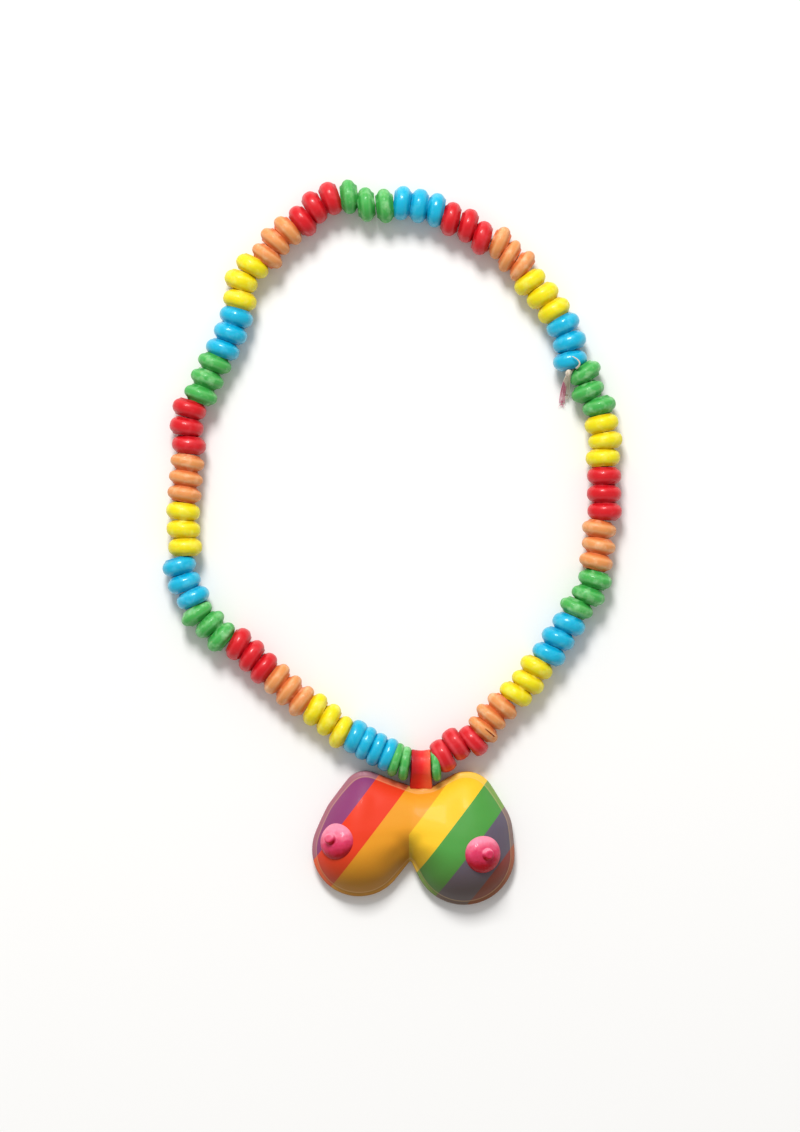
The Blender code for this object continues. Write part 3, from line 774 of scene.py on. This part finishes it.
# Painted highlight: a fine pale line round the lobes just above the shoulder.
above_line = add_node(striped_candy, "ShaderNodeMath", {
    0: sides.outputs["Z"], 1: HIGHLIGHT_LINE_HEIGHT,
}, operation="SUBTRACT")
off_line = add_node(striped_candy, "ShaderNodeMath", {0: above_line.outputs[0]}, operation="ABSOLUTE")
on_highlight_line = add_node(striped_candy, "ShaderNodeMapRange", {
    "Value": off_line.outputs[0], "From Min": HIGHLIGHT_LINE_REACH, "From Max": 0.0, "To Max": HIGHLIGHT_LINE_SHARE,
})
candy_colour = add_node(striped_candy, "ShaderNodeMix", {
    FACTOR: on_highlight_line.outputs["Result"], FIRST: with_painted_shade.outputs[MIXED], SECOND: linear(MILK_AND_HIGHLIGHT),
}, data_type="RGBA")
ripple = add_node(striped_candy, "ShaderNodeTexNoise", {
    "Vector": place, "Scale": per_mm(RIPPLE_WIDTH), "Detail": 1.0,
})
relief = add_node(striped_candy, "ShaderNodeBump", {
    "Height": ripple.outputs["Fac"], "Strength": 0.15, "Distance": 0.15 * MM,
})
striped_candy.node_tree.links.new(candy_colour.outputs[MIXED], shader.inputs["Base Color"])
striped_candy.node_tree.links.new(relief.outputs["Normal"], shader.inputs["Normal"])
stand_in(pendant, "pendant", striped_candy)

# %% [markdown]
# ## The pink caps
# Each lobe carries a small domed cap with a round nub, cast apart in pink candy and set in place
# while soft. A squashed ball and a short post are remeshed together, so that the nub flows out of
# the dome, and the foot is cut flat where it sinks into the lobe.

# %% Cast one cap
CAP_RADIUS = 6.1 * MM
CAP_HEIGHT = 4.0 * MM
CAP_FOOT = 0.6 * MM
NUB_RADIUS = 1.75 * MM
NUB_RISE = 1.55 * MM
NUB_ROUNDING = 0.7 * MM
CAP_VOXEL, CAP_ROUNDS = 0.18 * MM, 12

deselect_everything()
bpy.ops.mesh.primitive_uv_sphere_add(segments=64, ring_count=32, radius=CAP_RADIUS)
dome = bpy.context.object
bpy.ops.transform.resize(value=(1, 1, CAP_HEIGHT / CAP_RADIUS), center_override=(0, 0, 0))
deselect_everything()
bpy.ops.mesh.primitive_cylinder_add(
    vertices=32, radius=NUB_RADIUS, depth=2 * NUB_RISE, location=(0, 0, CAP_HEIGHT)
)
nub = bpy.context.object
start_editing(nub)
pick("EDGE", lambda middle: middle.z > NUB_RISE * JUST_UNDER)
bpy.ops.mesh.bevel(offset=NUB_ROUNDING, segments=4, affect="EDGES")
stop_editing()
cap_model = join([dome, nub], "cap_model")
melt(cap_model, CAP_VOXEL, CAP_ROUNDS)
cut_flat(cap_model, -CAP_FOOT)
print("faces of one cap:", len(cap_model.data.polygons))

# %% [markdown]
# ## Finish: glazed pink candy
# The caps have the same glaze over a clear pink sugar. Light goes some way in, which subsurface
# scattering gives. Their colour is painted pale pink on the side towards the lamp and deep red on
# the side away from it: painted light and painted shade.

# %% Mix the pink glaze
PINK_CLOUD = 2.0
PINK_DIMPLE = 1.4

pink_candy, shader = new_finish(
    "glazed_pink_candy", Roughness=0.4, Specular_IOR_Level=0.1, Coat_Weight=0.2, Coat_Roughness=0.06,
    Subsurface_Weight=0.25, Subsurface_Scale=1.5 * MM, Subsurface_Radius=(1.0, 0.3, 0.35),
)
place = add_node(pink_candy, "ShaderNodeTexCoord", {}).outputs["Object"]
clouding = add_node(pink_candy, "ShaderNodeTexNoise", {
    "Vector": place, "Scale": per_mm(PINK_CLOUD), "Detail": 2.0,
})
faces_from_lamp = add_node(pink_candy, "ShaderNodeAttribute", {}, attribute_name="faces_from_lamp")
# Painted light and shade: how far a point faces away from the lamp, broken up by clouds.
clouds_and_shade = add_node(pink_candy, "ShaderNodeMath", {
    0: clouding.outputs["Fac"], 1: 0.5, 2: faces_from_lamp.outputs["Fac"],
}, operation="MULTIPLY_ADD")
painted_shade_amount = add_node(pink_candy, "ShaderNodeMapRange", {
    "Value": clouds_and_shade.outputs[0], "From Min": -0.35, "From Max": 0.75,
})
# Pale pink is painted light towards the lamp, deep red painted shade away from it.
painted_shade_mix = add_node(pink_candy, "ShaderNodeValToRGB", {"Fac": painted_shade_amount.outputs["Result"]})
painted_shade_mix.color_ramp.elements[0].color = linear("#F08CA4")
painted_shade_mix.color_ramp.elements[1].color = linear("#A80014")
painted_shade_mix.color_ramp.elements.new(0.46).color = linear("#D63C64")
dimples = add_node(pink_candy, "ShaderNodeTexNoise", {
    "Vector": place, "Scale": per_mm(PINK_DIMPLE), "Detail": 1.0,
})
relief = add_node(pink_candy, "ShaderNodeBump", {
    "Height": dimples.outputs["Fac"], "Strength": 0.8, "Distance": 0.4 * MM,
})
pink_candy.node_tree.links.new(painted_shade_mix.outputs["Color"], shader.inputs["Base Color"])
pink_candy.node_tree.links.new(relief.outputs["Normal"], shader.inputs["Normal"])
print("nodes in the pink glaze:", len(pink_candy.node_tree.nodes))

# %% Set the caps
CAP_SINK = 1.3 * MM
CapPlace = namedtuple("CapPlace", "foot tilt heading")
CAP_PLACES = {
    "cap_left": CapPlace((-18.4, -95.1, 10.8), 35.9, 157.6),
    "cap_right": CapPlace((29.1, -99.3, 13.3), 24.2, 2.9),
}
for node, cap_place in CAP_PLACES.items():
    cap = own_copy(cap_model)
    heading = Matrix.Rotation(math.radians(cap_place.heading), 4, "Z")
    lean = Matrix.Rotation(math.radians(cap_place.tilt), 4, "Y")
    foot = Matrix.Translation(Vector(cap_place.foot) * MM)
    sunk = Matrix.Translation((0, 0, -CAP_SINK))
    cap.matrix_world = foot @ heading @ lean @ sunk
    join([cap], "pink_" + node)
    mark_faces_from_lamp(cap)
    stand_in(cap, node, pink_candy)
bpy.data.objects.remove(cap_model)

# %% [markdown]
# ## The red loop
# A strap of red candy holds the pendant to the string: a ring round the elastic that runs out into a
# widening tongue, down into the pendant's edge. A convex hull over a cylinder and a small block at
# the tongue's tip gives the ring and the tongue in one sweep. Bisects then cut it across, and its
# middle is drawn in a little, so that it is hollow from side to side, as a strap bent over while
# warm is.

# %% Cast the loop
LOOP_RIM = 4.9 * MM
TONGUE_WIDTH = 7.5 * MM
TONGUE_REACH = 9.8 * MM
TIP_LENGTH = 1.0 * MM
TIP_TOP = 2.3 * MM - SWEET_RADIUS
TIP_BOTTOM = 0.4 * MM - SWEET_RADIUS

deselect_everything()
bpy.ops.mesh.primitive_cylinder_add(
    vertices=96, radius=LOOP_RIM, depth=LOOP_WIDTH, rotation=(0, math.pi / 2, 0)
)
ring = bpy.context.object
deselect_everything()
bpy.ops.mesh.primitive_cube_add(
    size=1, location=(0, TIP_LENGTH / 2 - TONGUE_REACH, (TIP_TOP + TIP_BOTTOM) / 2),
    scale=(TONGUE_WIDTH, TIP_LENGTH, TIP_TOP - TIP_BOTTOM),
)
loop = stretch_skin([ring, bpy.context.object], "red_loop")
print("ring and tongue:", len(loop.data.polygons), "faces")

# %% Hollow it from side to side
CUT_ASIDE = 1.4 * MM
ON_THE_CUT = 0.01 * MM
DRAWN_IN = {0.0: 0.91, CUT_ASIDE: 0.94, -CUT_ASIDE: 0.94}
start_editing(loop)
for x in DRAWN_IN:
    bpy.ops.mesh.select_all(action="SELECT")
    bpy.ops.mesh.bisect(plane_co=(x, 0, 0), plane_no=(1, 0, 0))
for x, share in DRAWN_IN.items():
    pick("VERT", lambda place: abs(place.x - x) < ON_THE_CUT)
    bpy.ops.transform.resize(value=(1, share, share), center_override=(0, 0, 0))
stop_editing()
print("cuts across the loop:", len(DRAWN_IN))

# %% Soften it and drill it
LOOP_VOXEL, LOOP_ROUNDS = 0.25 * MM, 8

deselect_everything()
bpy.ops.mesh.primitive_cylinder_add(
    vertices=48, radius=HOLE_RADIUS, depth=2 * LOOP_WIDTH, rotation=(0, math.pi / 2, 0)
)
drill = bpy.context.object
melt(loop, LOOP_VOXEL, LOOP_ROUNDS)
apply_modifier(loop, "BOOLEAN", operation="DIFFERENCE", object=drill, solver="EXACT")
bpy.data.objects.remove(drill)
loop.location = loop_middle
join([loop], "red_loop")
bpy.ops.object.shade_smooth_by_angle(angle=CORNER_ANGLE)
print("faces of the loop:", len(loop.data.polygons))

# %% [markdown]
# ## Finish: glazed red candy
# The strap is clear red sugar. Its colour goes from a deep red on its left edge, painted shade, to a
# light orange red on its right edge and towards its tip, painted light. Faint streaks run through it.

# %% Dress the loop
RED_STREAK = 2.0

red_candy, shader = new_finish(
    "glazed_red_candy", Roughness=0.5, Specular_IOR_Level=0.25, Coat_Weight=0.05,
    Subsurface_Weight=0.4, Subsurface_Scale=2.5 * MM,
)
place = add_node(red_candy, "ShaderNodeTexCoord", {}).outputs["Object"]
streaks = add_node(red_candy, "ShaderNodeTexNoise", {
    "Vector": place, "Scale": per_mm(RED_STREAK), "Detail": 2.0,
})
sides = add_node(red_candy, "ShaderNodeSeparateXYZ", {"Vector": place})
# Painted shade and light: darker on the left edge, lighter on the right edge and down the tongue.
painted_light_across = add_node(red_candy, "ShaderNodeMapRange", {
    "Value": sides.outputs["X"], "From Min": loop_middle.x - LOOP_WIDTH / 2,
    "From Max": loop_middle.x + LOOP_WIDTH / 2, "To Min": -0.15, "To Max": 0.75,
})
painted_light_down_tongue = add_node(red_candy, "ShaderNodeMapRange", {
    "Value": sides.outputs["Y"], "From Min": loop_middle.y,
    "From Max": loop_middle.y - TONGUE_REACH, "To Max": 0.3,
})
painted_light_share = add_node(red_candy, "ShaderNodeMath", {
    0: painted_light_across.outputs["Result"], 1: painted_light_down_tongue.outputs["Result"],
}, operation="ADD")
streaks_and_painted_light = add_node(red_candy, "ShaderNodeMath", {
    0: streaks.outputs["Fac"], 1: 0.25, 2: painted_light_share.outputs[0],
}, operation="MULTIPLY_ADD", use_clamp=True)
red = add_node(red_candy, "ShaderNodeValToRGB", {"Fac": streaks_and_painted_light.outputs[0]})
red.color_ramp.elements[0].color = linear("#A8101C")
red.color_ramp.elements[1].color = linear("#FF6C48")
red.color_ramp.elements.new(0.5).color = linear("#E82422")
red_candy.node_tree.links.new(red.outputs["Color"], shader.inputs["Base Color"])
stand_in(loop, "loop", red_candy)

# %% [markdown]
# ## The elastic
# One thin elastic goes through every hole and is knotted between a blue and a green sweet. It is a
# curve through the places of the sweets, with a round bevel. The knot shows as two turns of thread,
# and three ends leave it: two hang down beside the green sweets, where their braid has come apart
# into strands, and a short one curls up over the blue sweet.

# %% Run the thread
THREAD_RADIUS = 0.5 * MM
END_RADIUS = 0.45 * MM
HAIR_RADIUS = 0.09 * MM
TIP_SHARE = 0.3


def thread(name, points, radius, closed=False, tapers=False):
    """A round thread along points, as a mesh."""
    curve = bpy.data.curves.new(name, "CURVE")
    curve.dimensions = "3D"
    curve.bevel_depth = radius
    curve.bevel_resolution = 2
    curve.use_fill_caps = not closed
    line = curve.splines.new("NURBS")
    line.points.add(len(points) - 1)
    for i, (spot, point) in enumerate(zip(line.points, points)):
        spot.co = (*point, 1.0)
        spot.radius = 1 - (1 - TIP_SHARE) * i / (len(points) - 1) if tapers else 1
    line.order_u = 4
    line.resolution_u = 6
    line.use_cyclic_u = closed
    line.use_endpoint_u = not closed
    laid = bpy.data.objects.new(name, curve)
    bpy.context.scene.collection.objects.link(laid)
    make_active(laid)
    bpy.ops.object.convert(target="MESH")
    return bpy.context.object


route = []
for number, sweets in enumerate(runs_of_sweets, 1):
    route += [sweet.centre for sweet in sweets]
    if number == LOOP_AFTER:
        route.append(loop_middle)
main_thread = thread("main_thread", route, THREAD_RADIUS, closed=True)
print("thread runs through", len(route), "holes")

# %% Tie the knot and leave the ends
KNOT = Vector((56.2, 54.4, 9.0)) * MM
KNOT_RADIUS = 0.75 * MM
KNOT_THREAD = 0.42 * MM
KNOT_TILTS = (math.radians(35), math.radians(100))
KNOT_LEAN = math.radians(20)
CREAM_END = (
    (59.2, 56.45, 5.5), (57.5, 55.7, 7.4), (56.4, 54.5, 9.0), (56.2, 52.6, 7.4),
    (56.0, 50.3, 3.9), (55.9, 47.2, 1.3),
)
PINK_REFLECTION_END = (
    (59.2, 56.45, 5.5), (57.4, 55.7, 7.4), (56.1, 54.3, 9.0), (55.3, 52.2, 6.6),
    (54.5, 48.8, 2.4), (54.3, 45.0, 0.75),
)
CURLED_END = (
    (59.2, 56.45, 5.5), (58.4, 55.7, 9.0), (59.2, 56.1, 11.3), (60.0, 57.5, 12.0),
    (58.9, 58.8, 12.05), (57.3, 59.6, 11.95),
)


def in_mm(points):
    return [Vector(point) * MM for point in points]


turns = []
for tilt in KNOT_TILTS:
    deselect_everything()
    bpy.ops.mesh.primitive_torus_add(
        major_radius=KNOT_RADIUS, minor_radius=KNOT_THREAD, major_segments=24, minor_segments=12,
        location=KNOT, rotation=(tilt, KNOT_LEAN, tilt),
    )
    turns.append(bpy.context.object)
curled_end = thread("curled_end", in_mm(CURLED_END), END_RADIUS, tapers=True)
print("turns of the knot:", len(turns))

# %% Let the ends come apart
STRANDS = 5
STRAND_RADIUS = 0.36 * MM
STRAND_SPREAD = 0.42 * MM
STRAND_WAVE = 0.4 * MM
HAIRS = 6
HAIR_LENGTH = 1.6 * MM
HAIR_VARIES = 0.3
HAIR_ROOT = 0.9 * MM
HAIR_LIFT = 0.25 * MM
HAIR_FAN = 40


def strands(points):
    """The strands of one end, which part sideways more and more towards the tip."""
    way = in_mm(points)
    made = []
    for i in range(STRANDS):
        aside = Vector(((i - (STRANDS - 1) / 2) * STRAND_SPREAD, STRAND_WAVE * math.sin(3 * i), 0))
        parted = [point + aside * j / (len(way) - 1) for j, point in enumerate(way)]
        made.append(thread("strand", parted, STRAND_RADIUS, tapers=True))
    return made


def frayed(points):
    """Fine hairs that fan out from the last point of an end, on along its way."""
    before, tip = in_mm(points)[-2:]
    onward = (tip - before).normalized()
    onward.z = 0
    hairs = []
    for i in range(HAIRS):
        turn = math.radians(-HAIR_FAN + 2 * HAIR_FAN * i / (HAIRS - 1))
        fan = Matrix.Rotation(turn, 3, "Z") @ onward
        length = HAIR_LENGTH * (1 + HAIR_VARIES * math.sin(5 * i + 1))
        lift = UP * HAIR_LIFT * math.cos(3 * i)
        way = [tip - fan * HAIR_ROOT, tip + fan * length * 0.4 + lift, tip + fan * length - lift]
        hairs.append(thread("hair", way, HAIR_RADIUS, tapers=True))
    return hairs


cream_strands = strands(CREAM_END)
pink_reflection_strands = strands(PINK_REFLECTION_END)
cream_hairs = frayed(CREAM_END)
pink_reflection_hairs = frayed(PINK_REFLECTION_END)
print("hairs:", len(cream_hairs) + len(pink_reflection_hairs))

# %% [markdown]
# ## Finish: braided elastic
# The thread is rubber cord covered in fine white cotton, cream with handling. The longer end is
# painted pink below a slanting line, a painted reflection of red. Fine crosswise noise breaks the
# light as a braid does.

# %% Dress the elastic
FIBRE = 0.35


def cotton_braid(name, pale, shade):
    """Cotton-covered elastic: dull, fuzzy and a little uneven in colour."""
    finish, shader = new_finish(name, Roughness=0.85, Sheen_Weight=0.3, Specular_IOR_Level=0.2)
    place = add_node(finish, "ShaderNodeTexCoord", {}).outputs["Object"]
    fibres = add_node(finish, "ShaderNodeTexNoise", {
        "Vector": place, "Scale": per_mm(FIBRE), "Detail": 3.0,
    })
    mixed = add_node(finish, "ShaderNodeMix", {
        FACTOR: fibres.outputs["Fac"], FIRST: linear(pale), SECOND: linear(shade),
    }, data_type="RGBA")
    relief = add_node(finish, "ShaderNodeBump", {
        "Height": fibres.outputs["Fac"], "Strength": 0.5, "Distance": 0.1 * MM,
    })
    finish.node_tree.links.new(mixed.outputs[MIXED], shader.inputs["Base Color"])
    finish.node_tree.links.new(relief.outputs["Normal"], shader.inputs["Normal"])
    return finish


# The thread is painted pink below a slanting line through this spot: a painted reflection.
PINK_REFLECTION_X, PINK_REFLECTION_Y = 55.0 * MM, 51.2 * MM
PINK_REFLECTION_SLANT = 1.5
cream_cotton = cotton_braid("cotton_braid_cream", "#EADFCF", "#B8A68E")
# Painted reflection: the pink cotton on the longer end stands for red light thrown onto it.
pink_reflection_cotton = cotton_braid("cotton_braid_painted_pink_reflection", "#EC9CB4", "#B04A6C")
pink_reflection_piece = join([*pink_reflection_strands, *pink_reflection_hairs], "pink_reflection_end")
pink_reflection_piece.data.materials.append(cream_cotton)
pink_reflection_piece.data.materials.append(pink_reflection_cotton)
for face in pink_reflection_piece.data.polygons:
    in_pink_reflection = face.center.y + PINK_REFLECTION_SLANT * (face.center.x - PINK_REFLECTION_X) < PINK_REFLECTION_Y
    face.material_index = 1 if in_pink_reflection else 0
elastic = join([main_thread, *turns, *cream_strands, curled_end, *cream_hairs], "knotted_elastic")
stand_in(elastic, "elastic", cream_cotton)
elastic = join([elastic, pink_reflection_piece], "knotted_elastic")
bpy.ops.object.shade_smooth()
print("materials of the elastic:", [finish.name for finish in elastic.data.materials])

# %% [markdown]
# ## Floor, light and camera
# The necklace lies on a plain pale table in soft studio light: one large lamp high up beyond its
# far side, a little to the left, and a bright even room. The camera looks straight down from far
# away with a long lens, so there is almost no perspective.

# %% Lay the floor
FLOOR_SIDE = 3.0

deselect_everything()
bpy.ops.mesh.primitive_plane_add(size=FLOOR_SIDE)
floor = bpy.context.object
floor.name = "pale_floor"
# Matt paper: it takes soft shadows and gives no shine of its own.
pale_paper, _ = new_finish("pale_paper", Base_Color=linear("#F2F1EF"), Roughness=0.9)
floor.data.materials.append(pale_paper)
print("floor", tuple(floor.dimensions))

# %% Set the lamps
LAMP_DISTANCE = 2.4
LAMP_SIDE = 0.7
LAMP_WATTS = 54
ROOM_STRENGTH = 0.5
KEY_FROM_VERTICAL = math.radians(43)
KEY_HEADING = math.radians(100)
lit_middle = Vector((0, -0.01, 0))
key_way = Vector((
    math.sin(KEY_FROM_VERTICAL) * math.cos(KEY_HEADING),
    math.sin(KEY_FROM_VERTICAL) * math.sin(KEY_HEADING),
    math.cos(KEY_FROM_VERTICAL),
))
key_light = bpy.data.lights.new("key", "AREA")
key_light.size = LAMP_SIDE
key_light.energy = LAMP_WATTS
key = bpy.data.objects.new("key", key_light)
bpy.context.scene.collection.objects.link(key)
key.location = lit_middle + key_way * LAMP_DISTANCE
key.rotation_euler = key_way.to_track_quat("Z", "Y").to_euler()

room = bpy.data.worlds.new("room")
room.use_nodes = True
room.node_tree.nodes["Background"].inputs["Color"].default_value = linear("#FFFFFF")
room.node_tree.nodes["Background"].inputs["Strength"].default_value = ROOM_STRENGTH
bpy.context.scene.world = room
bpy.context.scene.view_settings.view_transform = "Standard"
print("key lamp at", [round(v, 2) for v in key.location])

# %% Hang the camera
MM_PER_PIXEL = 0.3207
IMAGE_WIDTH, IMAGE_HEIGHT = 800, 1132
ORIGIN_PIXEL = (393, 543)
CAMERA_HEIGHT = 1.6
SENSOR_HEIGHT = 24
FARTHEST_SEEN = 10

camera_data = bpy.data.cameras.new("camera")
camera = bpy.data.objects.new("camera", camera_data)
bpy.context.scene.collection.objects.link(camera)
bpy.context.scene.camera = camera
camera_data.sensor_fit = "VERTICAL"
camera_data.sensor_height = SENSOR_HEIGHT
seen_height = IMAGE_HEIGHT * MM_PER_PIXEL * MM
camera_data.lens = camera_data.sensor_height * CAMERA_HEIGHT / seen_height
camera_data.clip_end = FARTHEST_SEEN
camera.location = (
    (IMAGE_WIDTH / 2 - ORIGIN_PIXEL[0]) * MM_PER_PIXEL * MM,
    (ORIGIN_PIXEL[1] - IMAGE_HEIGHT / 2) * MM_PER_PIXEL * MM,
    CAMERA_HEIGHT + SWEET_RADIUS,
)
print("lens, mm:", round(camera_data.lens, 1))
